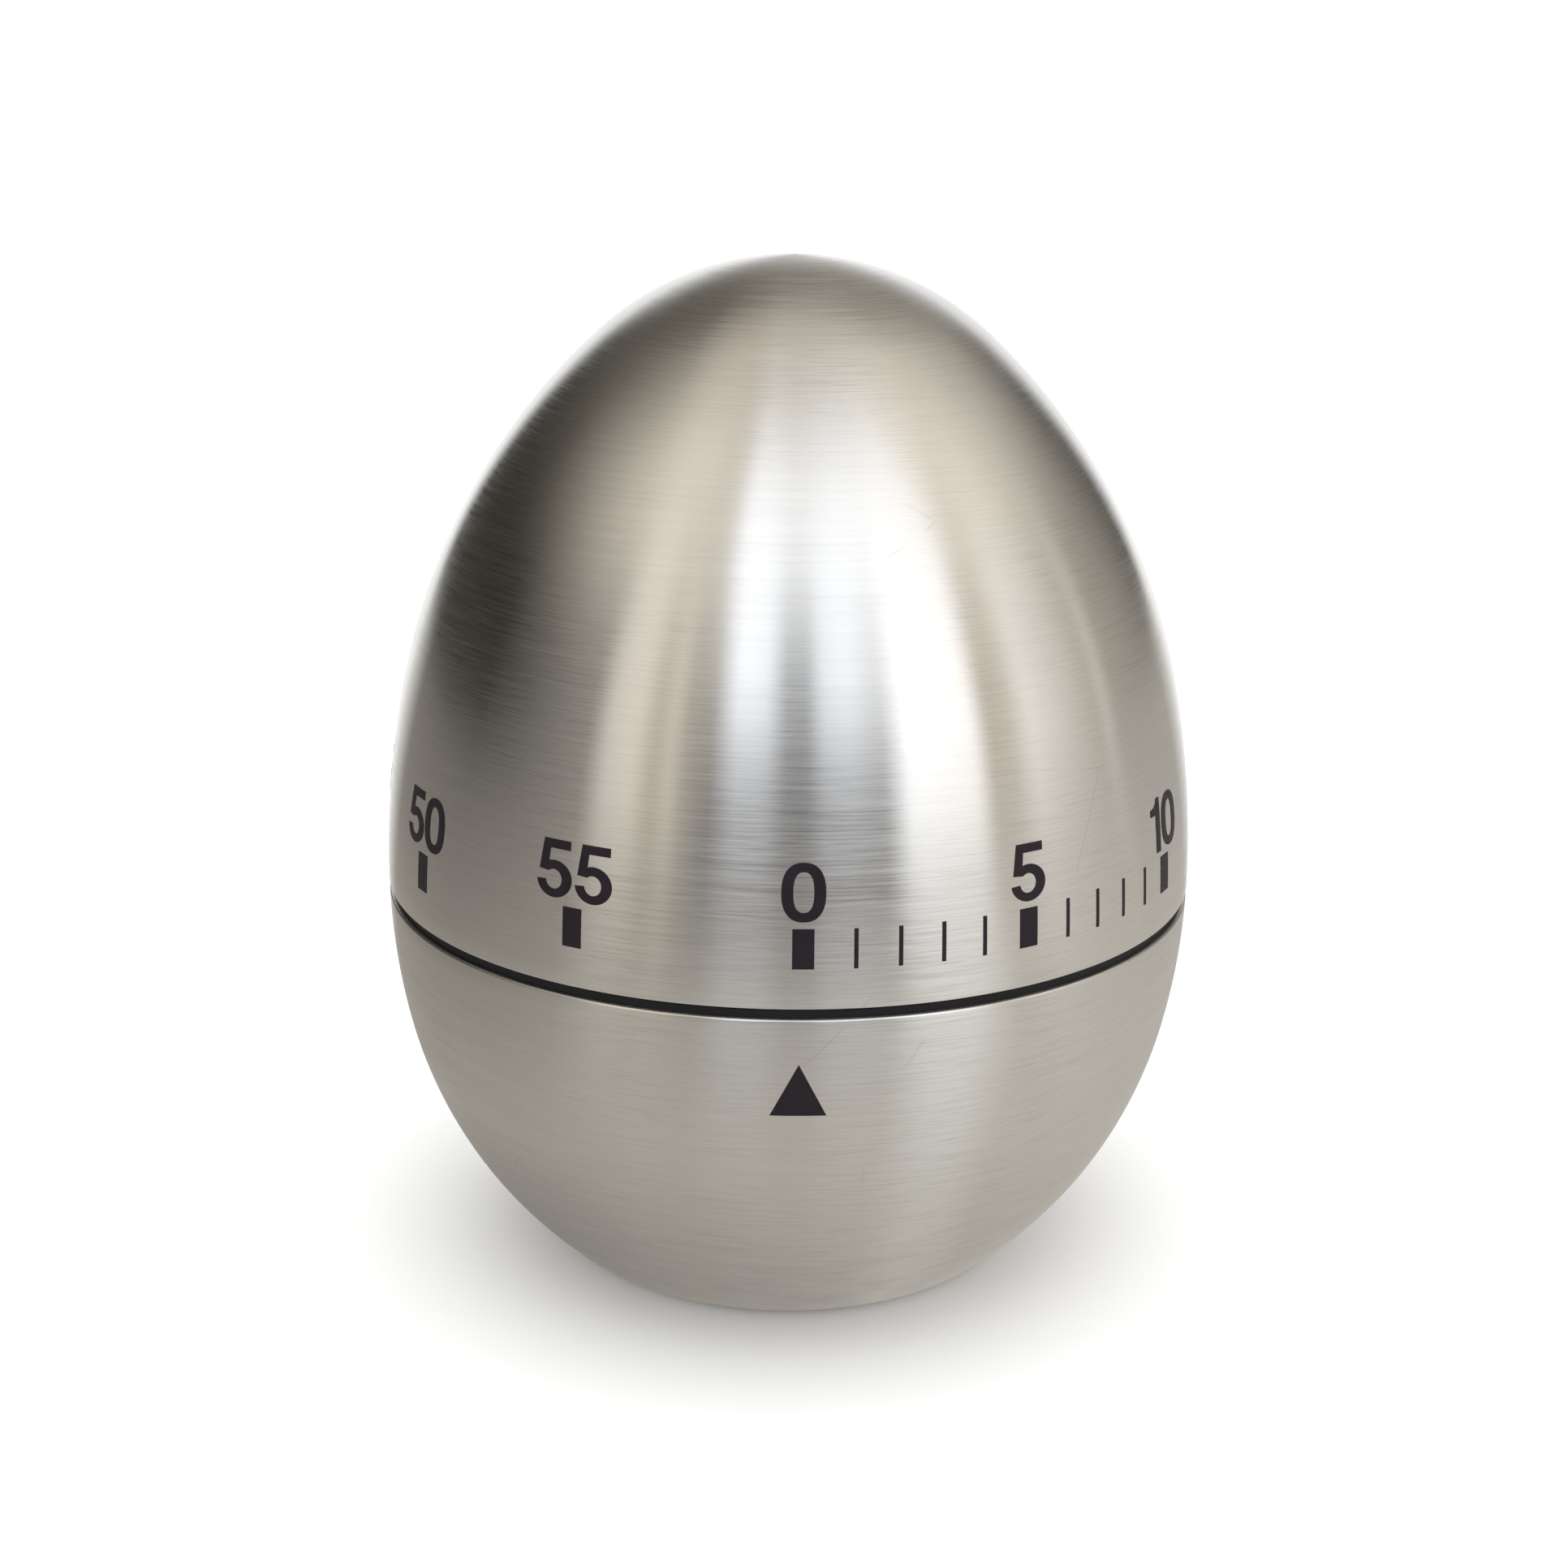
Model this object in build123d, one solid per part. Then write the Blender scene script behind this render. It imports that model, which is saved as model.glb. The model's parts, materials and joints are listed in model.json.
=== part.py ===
from build123d import *

import os
from math import acos, asin, atan2, cos, degrees, hypot, radians, sin, sqrt

# An egg-shaped kitchen timer that stands upright on +Z. The origin is the middle of the
# underside. The printed zero faces -Y when the timer has run out. All sizes are in mm.

# Steel egg
EGG_RADIUS = 30.0  # at the equator
EQUATOR = 29.12  # height of the widest place, where the two halves meet
SEAM = 28.42  # top edge of the lower shell: the black band fills the gap above it
BELT_RADIUS, BELT_END = 68.94, 13.0  # outline arcs: radius, and the slope where each ends
SHOULDER_RADIUS, SHOULDER_END = 46.95, 47.7
HIP_RADIUS, HIP_END = 47.60, -12.5
FOOT_RADIUS = 33.30
FLAT = 0.4  # the steel's flat bottom, just above the cover's rim
EDGE_RADIUS = 1.8
SHEET = 0.5
LIP_RADIUS = 14.8  # the hole in the steel's turned-in bottom

# Plastic mouldings
GAP = 0.05  # steel to plastic
WALL = 1.4
FLOOR_LOW, FLOOR_HIGH = 1.95, 3.35
BAND_RADIUS = 29.65
BAND_LOW, BAND_HIGH = 28.44, 28.98
SKIRT_LOW, WEB_LOW, WEB_HIGH = 29.2, 36.6, 38.0
BASE_SCREW_CIRCLE, POST_CIRCLE = 12.0, 21.3

# Movement
PLATE_LOW, PLATE_HIGH = (15.0, 16.0), (27.0, 27.8)
PILLAR_CIRCLE, PILLAR_ANGLES = 17.5, (20, 150, 318)
STEM_RADIUS, STEM_FLAT = 1.5, 1.0
STAFF_RADIUS, PIVOT_RADIUS = 0.5, 0.35
PRESS, RUN = 0.02, 0.04  # radial gaps of a pressed and of a turning fit
MODULES = (0.35, 0.25, 0.20)  # main to second, second to third, third to escape
MAIN_TEETH, SECOND_TEETH, THIRD_TEETH, LEAVES = 72, 64, 60, 8
ESCAPE_TEETH, STAR_TEETH = 15, 20
STOP_ANGLE, STOP_WIDTH = 185.0, 0.58
LIFT = 6.0  # degrees that the dial's two stops take out of a full turn


def polar(radius, angle, centre=(0, 0)):
    """A point at a radius and angle round a centre."""
    turn = radians(angle)
    return (centre[0] + radius * cos(turn), centre[1] + radius * sin(turn))


def heading(start, end):
    """The direction from one point to another, in degrees."""
    return degrees(atan2(end[1] - start[1], end[0] - start[0]))


def apart(start, end):
    """The distance between two points."""
    return hypot(end[0] - start[0], end[1] - start[1])


# Arbor places, seen from above
SECOND_AT = polar(14.0, 200)
THIRD_AT = polar(15.5, 235.06)
ESCAPE_AT = polar(15.5, 260.36)
PALLET_AT = polar(15.5, 283.43)
STAR_AT = polar(14.0, 60)
HAMMER_AT = polar(17.0, 90)
ANCHOR_AT = polar(11.35, 340)
HEAD_RADIUS = 1.8
BELL_RADIUS = 14.0
HEAD_AT = polar(BELL_RADIUS + 1.05 + HEAD_RADIUS, 57.7)


def disc(radius, low, high, at=(0, 0)):
    """A cylinder between two heights."""
    solid = Cylinder(radius, high - low, align=(Align.CENTER, Align.CENTER, Align.MIN))
    return Pos(at[0], at[1], low) * solid


def ring_of(make, circle, angles):
    """Copies of a piece round the middle; make is called with each place."""
    return [make(polar(circle, angle)) for angle in angles]


def bar(start, end, width, low, high):
    """A flat bar with round ends between two points."""
    length = apart(start, end)
    middle = ((start[0] + end[0]) / 2, (start[1] + end[1]) / 2)
    flat = Box(length, width, high - low, align=(Align.CENTER, Align.CENTER, Align.MIN))
    flat = Pos(*middle, low) * Rot(0, 0, heading(start, end)) * flat
    return flat + disc(width / 2, low, high, start) + disc(width / 2, low, high, end)


def prism(outline, low, high):
    """A flat piece with the given corners."""
    face = make_face(Polyline(*outline, close=True))
    return Pos(0, 0, low) * extrude(face, amount=high - low, dir=(0, 0, 1))


def turned(*edges):
    """A solid turned about the upright axis from the edges of its half section."""
    return revolve(Plane.XZ * make_face(list(edges)), Axis.Z)


def turned_outline(*corners):
    """A solid turned about the upright axis from the corners of its half section."""
    return revolve(Plane.XZ * make_face(Polyline(*corners, close=True)), Axis.Z)


def save(name, *solids):
    """Write one named piece, or one group of like pieces."""
    shape = solids[0] if len(solids) == 1 else Compound(children=list(solids))
    export_step(shape, os.path.join("parts", name + ".step"))


# The egg's outline: each arc is (centre r, centre z, radius, first angle, last angle).


def follow(arc, radius, end):
    """The arc that runs on smoothly from another arc's end."""
    step, turn = arc[2] - radius, radians(arc[4])
    return (arc[0] + step * cos(turn), arc[1] + step * sin(turn), radius, arc[4], end)


def upper_arcs():
    """Belt, shoulder and crown, from the equator to the top."""
    belt = (EGG_RADIUS - BELT_RADIUS, EQUATOR, BELT_RADIUS, 0, BELT_END)
    shoulder = follow(belt, SHOULDER_RADIUS, SHOULDER_END)
    crown_radius = SHOULDER_RADIUS + shoulder[0] / cos(radians(SHOULDER_END))
    return [belt, shoulder, follow(shoulder, crown_radius, 90)]


def lower_arcs():
    """Bottom edge, foot and hip, from the flat bottom to the equator."""
    hip = (EGG_RADIUS - HIP_RADIUS, EQUATOR, HIP_RADIUS, 0, HIP_END)
    foot = follow(hip, FOOT_RADIUS, -90)
    rise, reach = FLAT + EDGE_RADIUS - foot[1], FOOT_RADIUS - EDGE_RADIUS
    edge_r = foot[0] + sqrt(reach**2 - rise**2)
    meet = degrees(asin(rise / reach))
    edge = (edge_r, FLAT + EDGE_RADIUS, EDGE_RADIUS, -90, meet)
    return [edge, (*foot[:3], meet, HIP_END), (*hip[:3], HIP_END, 0)]


def skin(arcs, low, high, inset=0.0):
    """Edges along the egg between two heights, a given depth inside its surface."""
    edges = []
    for centre_r, centre_z, radius, start, end in arcs:
        radius -= inset
        if radius <= 0:
            continue
        bounds = [max(-1, min(1, (h - centre_z) / radius)) for h in (low, high)]
        first = max(start, degrees(asin(bounds[0])))
        last = min(end, degrees(asin(bounds[1])))
        if last - first > 1e-6:
            edges.append(CenterArc((centre_r, centre_z), radius, first, last - first))
    return edges


def link(start, *corners):
    """Straight edges through a run of points."""
    points = [start, *corners]
    return [Line(a, b) for a, b in zip(points, points[1:])]


def flat_point(vector):
    return (vector.X, vector.Y)


# Shells and mouldings


def lower_shell():
    outer = skin(lower_arcs(), FLAT, SEAM)
    inner = skin(lower_arcs(), FLAT + SHEET, SEAM, SHEET)
    top = link(flat_point(outer[-1] @ 1), flat_point(inner[-1] @ 1))
    lip = ((LIP_RADIUS, FLAT), (LIP_RADIUS, FLAT + SHEET))
    bottom = link(flat_point(outer[0] @ 0), *lip, flat_point(inner[0] @ 0))
    return turned(*outer, *inner, *top, *bottom)


def upper_shell():
    outer = skin(upper_arcs(), EQUATOR, 200)
    inner = skin(upper_arcs(), EQUATOR, 200, SHEET)
    rim = link(flat_point(outer[0] @ 0), flat_point(inner[0] @ 0))
    axis = link(flat_point(outer[-1] @ 1), flat_point(inner[-1] @ 1))
    return turned(*outer, *inner, *rim, *axis)


def base_housing():
    """The bowl inside the lower shell; its flange is the black band at the seam."""
    depth = SHEET + GAP
    outer = skin(lower_arcs(), FLAT + depth, BAND_LOW, depth)
    inner = skin(lower_arcs(), FLOOR_HIGH, BAND_LOW, depth + WALL)
    flange = [(BAND_RADIUS, BAND_LOW), (BAND_RADIUS, BAND_HIGH), (27.85, BAND_HIGH)]
    flange += [(27.85, 31.0), (26.6, 31.0), (26.6, BAND_LOW)]
    rim = link(flat_point(outer[-1] @ 1), *flange, flat_point(inner[-1] @ 1))
    floor = [(0, FLOOR_HIGH), (0, FLOOR_LOW), (15.0, FLOOR_LOW), (15.0, FLAT + depth)]
    floor = link(flat_point(inner[0] @ 0), *floor, flat_point(outer[0] @ 0))
    bowl = turned(*outer, *rim, *inner, *floor)
    within = skin(lower_arcs(), FLOOR_LOW + 0.5, BAND_LOW, depth + WALL / 2)
    corners = [(0, BAND_LOW), (0, FLOOR_LOW + 0.5)]
    within = turned(*within, *link(flat_point(within[-1] @ 1), *corners, flat_point(within[0] @ 0)))
    for at in ring_of(tuple, POST_CIRCLE, (30, 150, 270)):
        bowl += disc(2.0, FLOOR_LOW + 0.5, PLATE_LOW[0], at) & within
        bowl -= disc(0.74, 8.5, PLATE_LOW[0], at)
    for at in ring_of(tuple, BASE_SCREW_CIRCLE, (90, 210, 330)):
        bowl += disc(1.9, FLOOR_HIGH - 0.1, 5.6, at)
        bowl -= disc(0.72, FLOOR_LOW, 5.6, at)
    bowl += disc(2.4, FLOOR_HIGH - 0.1, 6.4)
    bowl -= disc(0.92, FLOOR_LOW + 1.0, 6.4)
    for at in ring_of(tuple, 7.0, range(0, 360, 45)):
        bowl -= disc(1.5, FLOOR_LOW, FLOOR_HIGH, at)
    return bowl


def base_cover():
    """The disc underneath: a thin rim under the steel, and a plug in its hole."""
    cover = disc(16.2, 0, FLAT) + disc(14.6, FLAT, FLOOR_LOW - GAP)
    for at in ring_of(tuple, BASE_SCREW_CIRCLE, (90, 210, 330)):
        cover -= disc(0.95, 0, FLOOR_LOW, at) + disc(1.95, 0, 1.0, at)
    for at in ring_of(tuple, 7.0, range(0, 360, 45)):
        cover -= disc(1.5, 0, FLOOR_LOW, at)
    return cover


def dial_carrier():
    """The moulding inside the upper shell: skirt, web, ribs, socket and stop rib."""
    depth = SHEET + GAP
    outer = skin(upper_arcs(), SKIRT_LOW, WEB_HIGH, depth)
    inner = skin(upper_arcs(), SKIRT_LOW, WEB_LOW, depth + WALL)
    web = [(0, WEB_HIGH), (0, WEB_LOW)]
    web = link(flat_point(outer[-1] @ 1), *web, flat_point(inner[-1] @ 1))
    foot = link(flat_point(outer[0] @ 0), flat_point(inner[0] @ 0))
    carrier = turned(*outer, *inner, *web, *foot)
    ribs = [bar(polar(4.0, a), polar(26.6, a), 1.0, 33.0, WEB_LOW + 0.1) for a in range(15, 360, 60)]
    stop = bar(polar(10.9, 0), polar(13.1, 0), STOP_WIDTH, 30.0, WEB_LOW + 0.1)
    stop = Rot(0, 0, STOP_ANGLE - LIFT / 2) * stop
    carrier = carrier + ribs + stop + disc(4.2, 30.6, WEB_LOW + 0.1)
    return carrier - stem(PRESS, 30.6, 36.2)


# Turned and pressed metal pieces


def stem(gap, low, high):
    """The arbor's D-shaped end; with a gap it is the hole for it."""
    keep = Box(8, 8, high - low, align=(Align.MAX, Align.CENTER, Align.MIN))
    return disc(STEM_RADIUS + gap, low, high) & (Pos(STEM_FLAT + gap, 0, low) * keep)


def main_arbor():
    arbor = disc(1.0, PLATE_LOW[0], 16.1) + disc(1.8, 16.05, 26.95)
    arbor += disc(3.2, 22.1, 22.6) + disc(STEM_RADIUS, 26.9, 28.2) + stem(0, 28.15, 36.0)
    groove = disc(1.9, 23.95, 24.35) - disc(1.4, 23.95, 24.35)
    return arbor - groove


def arbor_clip():
    clip = disc(2.9, 23.98, 24.32) - disc(1.42, 23.98, 24.32)
    return clip - Pos(2.2, 0, 24.15) * Box(2.6, 1.6, 1)


def clutch_spring():
    """A sprung washer that presses the main wheel on the arbor's collar."""
    low, high = 23.42, 23.93
    cone = [(1.9, high - 0.2), (2.3, high - 0.2), (3.9, low), (4.3, low), (4.3, low + 0.15)]
    return turned_outline(*cone, (3.95, low + 0.15), (2.4, high), (1.9, high))


def gear_outline(teeth, root, tip, phase, centre):
    """Corners of straight-flanked teeth; root and tip are (radius, half thickness)."""
    corners = []
    for k in range(teeth):
        middle = phase + 360 * k / teeth
        for (radius, half), side in ((root, -1), (tip, -1), (tip, 1), (root, 1)):
            corners.append(polar(radius, middle + side * degrees(half / radius), centre))
    return corners


def wheel(teeth, module, low, high, phase, centre, bore, holes):
    """A pressed gear wheel with round windows; holes is (circle, radius, count)."""
    pitch = teeth * module / 2
    root, tip = (pitch - 1.1 * module, 0.85 * module), (pitch + 0.9 * module, 0.3 * module)
    gear = prism(gear_outline(teeth, root, tip, phase, centre), low, high)
    gear -= disc(bore + PRESS, low, high, centre)
    for k in range(holes[2]):
        gear -= disc(holes[1], low, high, polar(holes[0], phase + 360 * (k + 0.5) / holes[2], centre))
    return gear


def leaves(module, low, high, phase, centre):
    """The teeth of an eight-leaved pinion."""
    pitch = LEAVES * module / 2
    root, tip = (pitch - 1.2 * module, 0.65 * module), (pitch + 0.8 * module, 0.3 * module)
    return prism(gear_outline(LEAVES, root, tip, phase, centre), low, high)


def staff(centre, low=PLATE_LOW[0] + 0.1, high=PLATE_HIGH[1] - 0.1):
    """An arbor between the plates, with a thin pivot at each end."""
    body = disc(STAFF_RADIUS, PLATE_LOW[1] + 0.1, PLATE_HIGH[0] - 0.1, centre)
    return body + disc(PIVOT_RADIUS, low, high, centre)


def pinion(module, low, high, centre, driver):
    """An arbor with leaves cut in it, a gap between two leaves facing its driver."""
    phase = heading(centre, driver) + 180 / LEAVES
    return staff(centre) + leaves(module, low, high, phase, centre)


def escape_wheel():
    """Fifteen pointed teeth, two of them standing evenly about the line to the pallets."""
    facing = heading(ESCAPE_AT, PALLET_AT)
    pitch = 360 / ESCAPE_TEETH
    corners = []
    for k in range(ESCAPE_TEETH):
        middle = facing + (k + 0.5) * pitch
        for radius, angle in ((2.5, -2.5), (3.6, -1.0), (3.6, 1.0), (2.5, 6.0)):
            corners.append(polar(radius, middle + angle, ESCAPE_AT))
    solid = prism(corners, 24.3, 24.9) - disc(STAFF_RADIUS + PRESS, 24.3, 24.9, ESCAPE_AT)
    for k in range(3):
        solid -= disc(0.55, 24.3, 24.9, polar(1.5, facing + 120 * k, ESCAPE_AT))
    return solid


def pin_places():
    """The two pallet pins stand four and a half teeth apart, just clear of the tips."""
    facing = heading(ESCAPE_AT, PALLET_AT)
    return [polar(3.93, facing + side * 54, ESCAPE_AT) for side in (-1, 1)]


def pallet_fork():
    fork = disc(1.5, 25.3, 25.9, PALLET_AT)
    for place in pin_places():
        fork += bar(PALLET_AT, place, 0.9, 25.3, 25.9)
        fork -= disc(0.18 + PRESS, 25.3, 25.9, place)
    return fork - disc(STAFF_RADIUS + PRESS, 25.3, 25.9, PALLET_AT)


def balance_weight():
    """A light ring on two spokes, whose inertia sets the beat."""
    ring = disc(4.0, 17.5, 18.3, PALLET_AT) - disc(3.0, 17.5, 18.3, PALLET_AT)
    across = heading(ESCAPE_AT, PALLET_AT) + 90
    ends = [polar(3.4, across + turn, PALLET_AT) for turn in (0, 180)]
    ring += bar(*ends, 0.9, 17.5, 18.3) + disc(1.4, 17.5, 18.3, PALLET_AT)
    return ring - disc(STAFF_RADIUS + PRESS, 17.5, 18.3, PALLET_AT)


# The strike: a star driven by the main wheel, and a hammer rocked by the star


def nib_line():
    """The direction from the star towards the hammer fork's nib."""
    reach = degrees(acos(5.5 / apart(STAR_AT, HAMMER_AT)))
    away = heading(STAR_AT, HAMMER_AT)
    outward = heading((0, 0), STAR_AT)
    sides = [away - reach, away + reach]
    return min(sides, key=lambda side: abs((side - outward + 180) % 360 - 180))


def strike_star():
    phase = nib_line() + 180 / STAR_TEETH
    corners = gear_outline(STAR_TEETH, (3.1, 0.22), (4.0, 0.06), phase, STAR_AT)
    star = prism(corners, 25.0, 25.6) - disc(STAFF_RADIUS + PRESS, 25.0, 25.6, STAR_AT)
    for k in range(4):
        star -= disc(0.6, 25.0, 25.6, polar(2.0, phase + 90 * k, STAR_AT))
    return star


def hammer_fork():
    """A bent arm whose nib drops between the star's teeth."""
    elbow = polar(5.5, nib_line(), STAR_AT)
    tip = polar(4.33, nib_line(), STAR_AT)
    arm = bar(HAMMER_AT, elbow, 1.0, 25.0, 25.6) + bar(elbow, tip, 0.36, 25.0, 25.6)
    arm += disc(1.5, 24.7, 26.2, HAMMER_AT)
    return arm - disc(0.7 + PRESS, 24.7, 26.2, HAMMER_AT)


def cam_follower():
    """A bent arm whose nib rides on the alarm cam and drops in its notch."""
    elbow, tip = polar(10.3, 50), polar(8.48, 50)
    arm = bar(HAMMER_AT, elbow, 1.1, 28.6, 29.2) + bar(elbow, tip, 0.7, 28.6, 29.2)
    arm += disc(1.5, 28.2, 29.6, HAMMER_AT)
    return arm - disc(0.7 + PRESS, 28.2, 29.6, HAMMER_AT)


def alarm_cam():
    """The disc whose notch lets the hammer go when the time is up."""
    cam = disc(8.0, 28.4, 29.2) + disc(2.6, 29.2, 30.3)
    notch = [polar(6.6, 40), polar(8.6, 39), polar(8.8, 49), polar(8.6, 59), polar(6.6, 58)]
    cam -= prism([*notch, polar(6.45, 49)], 28.4, 29.2)
    return cam - stem(PRESS, 28.4, 30.3)


def hammer_arm():
    arm = bar(HAMMER_AT, HEAD_AT, 1.6, 13.1, 13.9) + disc(1.7, 13.1, 14.6, HAMMER_AT)
    arm -= disc(0.7 + PRESS, 13.1, 14.6, HAMMER_AT)
    return arm - disc(0.6 + PRESS, 13.1, 13.9, HEAD_AT)


def hammer_head():
    """A brass slug, riveted through the arm's end."""
    return disc(HEAD_RADIUS, 10.2, 13.08, HEAD_AT) + disc(0.6, 13.05, 14.2, HEAD_AT)


def hammer_spring():
    """A coil round the hammer's arbor."""
    coil = Helix(pitch=0.5, height=3.0, radius=1.15)
    start = Plane(origin=coil @ 0, z_dir=coil % 0)
    wire = sweep(start * Circle(0.13), path=coil, is_frenet=True)
    return Pos(*HAMMER_AT, 18.0) * wire


def bell():
    """A pressed cup that stands open side up on the housing's middle boss."""
    sheet, top, bend = 0.8, 12.6, 5.0
    outer, inner = BELL_RADIUS, BELL_RADIUS - sheet
    centre = (BELL_RADIUS - bend, 6.4 + bend)
    edges = [CenterArc(centre, bend, -90, 90), CenterArc(centre, bend - sheet, -90, 90)]
    edges += link((outer, centre[1]), (outer, top), (inner, top), (inner, centre[1]))
    edges += link((centre[0], 6.4), (0.95, 6.4), (0.95, 7.2), (centre[0], 7.2))
    return turned(*edges)


def pan_screw(at, head, shank, seat, tip, head_height):
    """A slotted screw; its head stands on the seat and its shank reaches the tip."""
    side = 1 if seat > tip else -1
    crown = seat + side * head_height
    screw = disc(head, min(seat, crown), max(seat, crown), at)
    screw += disc(shank, min(seat, tip), max(seat, tip), at)
    slot = Box(2 * head + 1, 0.4, 0.7)
    return screw - Pos(*at, crown) * Rot(0, 0, 35) * slot


def pillar(at):
    """A hexagonal pillar, tapped at both ends."""
    corners = [polar(1.75, 60 * k, at) for k in range(6)]
    post = prism(corners, PLATE_LOW[1], PLATE_HIGH[0])
    post -= disc(0.62, PLATE_LOW[1], PLATE_LOW[1] + 3.5, at)
    return post - disc(0.62, PLATE_HIGH[0] - 3.5, PLATE_HIGH[0], at)


def pivot_holes(low, high):
    """Running holes for every arbor that stands between the plates."""
    tools = disc(0.7 + RUN, low, high, HAMMER_AT)
    for at in (SECOND_AT, THIRD_AT, ESCAPE_AT, PALLET_AT, STAR_AT):
        tools += disc(PIVOT_RADIUS + RUN, low, high, at)
    for at in ring_of(tuple, PILLAR_CIRCLE, PILLAR_ANGLES):
        tools += disc(0.65, low, high, at)
    return tools


def bottom_plate():
    low, high = PLATE_LOW
    plate = disc(20.0, low, high)
    for at in ring_of(tuple, POST_CIRCLE, (30, 150, 270)):
        plate += bar((at[0] * 0.8, at[1] * 0.8), at, 4.2, low, high)
        plate -= disc(0.85, low, high, at)
    plate -= pivot_holes(low, high) + disc(1.0 + RUN, low, high)
    return plate - disc(STAFF_RADIUS + PRESS, low, high, ANCHOR_AT)


def top_plate():
    """The upper plate, with the upright tab that stops the dial at both ends."""
    low, high = PLATE_HIGH
    plate = disc(19.4, low, high) - pivot_holes(low, high) - disc(STEM_RADIUS + RUN, low, high)
    plate -= Pos(*polar(11.6, 305), low) * Cylinder(4.0, 4)
    plate -= Pos(*polar(11.2, 5), low) * Cylinder(3.4, 4)
    tab = bar(polar(11.4, 0), polar(12.6, 0), STOP_WIDTH, low, 31.5)
    return plate + Rot(0, 0, STOP_ANGLE) * tab


def mainspring():
    """A flat spiral, hooked on the arbor and looped round its anchor post."""
    turns, inner, outer, half = 10, 2.15, 10.5, 0.12
    last = heading((0, 0), ANCHOR_AT)
    steps = [k / 120 for k in range(121)]

    def side(offset):
        spots = [polar(inner + (outer - inner) * t + offset, last - 360 * turns * (1 - t)) for t in steps]
        return Spline(*spots)

    near, far = side(-half), side(half)
    ends = [Line(near @ 0, far @ 0), Line(near @ 1, far @ 1)]
    ribbon = extrude(make_face([near, far, *ends]), amount=3.6, dir=(0, 0, 1))
    loop = Pos(*ANCHOR_AT, 0) * (Cylinder(0.95, 3.6) - Cylinder(STAFF_RADIUS + PRESS, 3.6))
    ribbon += Pos(0, 0, 1.8) * loop
    ribbon -= disc(STAFF_RADIUS + PRESS, 0, 3.6, ANCHOR_AT)
    return Pos(0, 0, 16.6) * ribbon


def save_case():
    save("lower_shell", lower_shell())
    save("upper_shell", upper_shell())
    save("base_housing", base_housing())
    save("base_cover", base_cover())
    save("dial_carrier", dial_carrier())
    heads = ring_of(tuple, BASE_SCREW_CIRCLE, (90, 210, 330))
    save("base_screws", *[pan_screw(at, 1.7, 0.7, 1.0, 5.4, 0.85) for at in heads])
    heads = ring_of(tuple, POST_CIRCLE, (30, 150, 270))
    save("movement_screws", *[pan_screw(at, 1.8, 0.72, 16.0, 9.0, 1.1) for at in heads])


def save_frame():
    places = ring_of(tuple, PILLAR_CIRCLE, PILLAR_ANGLES)
    save("bottom_plate", bottom_plate())
    save("top_plate", top_plate())
    save("plate_pillars", *[pillar(at) for at in places])
    over = [pan_screw(at, 1.5, 0.6, PLATE_HIGH[1], 24.0, 0.9) for at in places]
    under = [pan_screw(at, 1.5, 0.6, PLATE_LOW[0], 19.0, 0.9) for at in places]
    save("plate_screws", *over, *under)
    save("bell", bell())
    save("bell_screw", pan_screw((0, 0), 2.2, 0.9, 7.2, 3.6, 1.0))
    save("spring_post", disc(STAFF_RADIUS, PLATE_LOW[0], 20.5, ANCHOR_AT))
    save("mainspring", mainspring())


def save_train():
    save("main_arbor", main_arbor())
    save("main_wheel", wheel(MAIN_TEETH, MODULES[0], 22.62, 23.4, 200, (0, 0), 1.8, (8.0, 2.2, 5)))
    save("clutch_spring", clutch_spring())
    save("arbor_clip", arbor_clip())
    save("alarm_cam", alarm_cam())
    save("second_pinion", pinion(MODULES[0], 22.3, 23.7, SECOND_AT, (0, 0)))
    phase, windows = heading(SECOND_AT, THIRD_AT), (4.4, 1.7, 5)
    second = wheel(SECOND_TEETH, MODULES[1], 25.0, 25.6, phase, SECOND_AT, STAFF_RADIUS, windows)
    save("second_wheel", second)
    save("third_pinion", pinion(MODULES[1], 24.8, 25.8, THIRD_AT, SECOND_AT))
    phase, windows = heading(THIRD_AT, ESCAPE_AT), (3.3, 1.2, 5)
    third = wheel(THIRD_TEETH, MODULES[2], 21.2, 21.8, phase, THIRD_AT, STAFF_RADIUS, windows)
    save("third_wheel", third)
    save("escape_pinion", pinion(MODULES[2], 21.0, 22.0, ESCAPE_AT, THIRD_AT))
    save("escape_wheel", escape_wheel())
    save("pallet_arbor", staff(PALLET_AT))
    save("pallet_fork", pallet_fork())
    save("pallet_pins", *[disc(0.18, 24.1, 25.9, at) for at in pin_places()])
    save("balance_weight", balance_weight())


def save_strike():
    save("strike_pinion", pinion(MODULES[0], 22.3, 23.7, STAR_AT, (0, 0)))
    save("strike_star", strike_star())
    save("hammer_arbor", disc(0.7, 12.8, 29.8, HAMMER_AT))
    save("hammer_arm", hammer_arm())
    save("hammer_head", hammer_head())
    save("hammer_fork", hammer_fork())
    save("cam_follower", cam_follower())
    save("hammer_spring", hammer_spring())


os.makedirs("parts", exist_ok=True)
save_case()
save_frame()
save_train()
save_strike()
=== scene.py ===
import json
import math

import bmesh
import bpy
from mathutils import Matrix, Vector


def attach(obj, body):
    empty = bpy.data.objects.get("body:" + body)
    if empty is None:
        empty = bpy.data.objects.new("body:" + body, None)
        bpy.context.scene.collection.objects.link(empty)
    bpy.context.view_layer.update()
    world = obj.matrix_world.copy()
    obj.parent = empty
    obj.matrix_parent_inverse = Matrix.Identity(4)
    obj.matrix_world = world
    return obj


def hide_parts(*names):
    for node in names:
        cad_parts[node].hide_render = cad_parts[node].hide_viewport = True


MM = 0.001
SAME_PLACE = 1e-4  # mm; points nearer than this are one
TINY = 1e-9

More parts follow.
